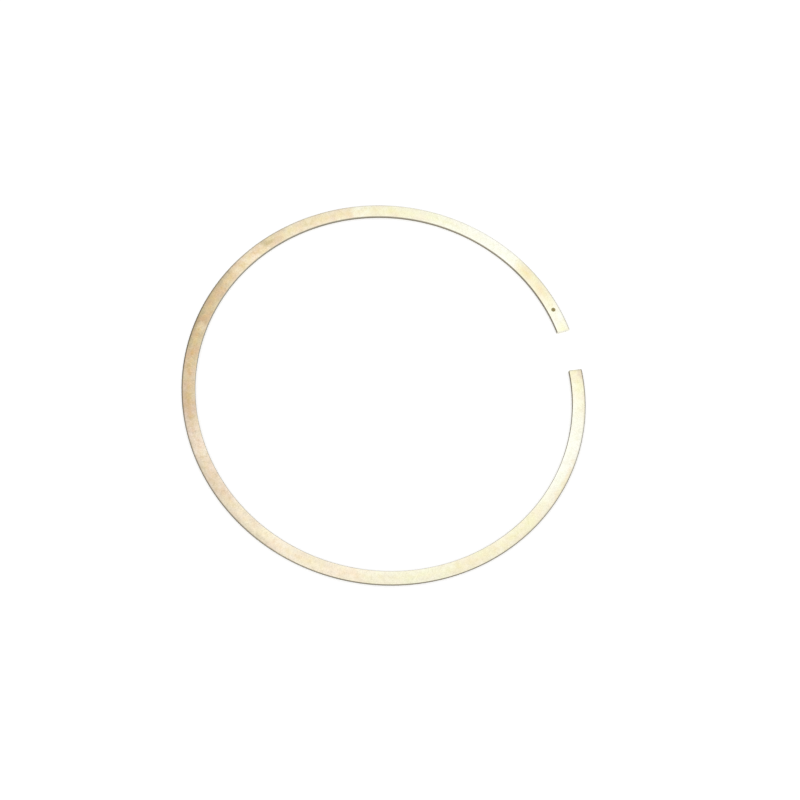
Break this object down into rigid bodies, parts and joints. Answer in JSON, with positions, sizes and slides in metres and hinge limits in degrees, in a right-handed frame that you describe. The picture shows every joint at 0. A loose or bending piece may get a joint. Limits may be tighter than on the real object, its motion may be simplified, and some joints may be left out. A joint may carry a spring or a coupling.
{
  "type": "piston ring",
  "caption": "Split steel compression ring with a barrelled running face and plain butt ends, sprung open, which seals a piston in its cylinder bore.",
  "frame": {"origin": "under the middle of the ring's box, on the plane of its lower side", "axes": "+Z out of the upper side, +X from the back of the ring to its gap, +Y across it"},
  "size_m": [0.0878, 0.0896, 0.0008],
  "materials": {
    "ring_steel": "lapped satin with a pale straw tint"
  },
  "bodies": {
    "root": {"piston_ring": "ring_steel"}
  },
  "joints": []
}
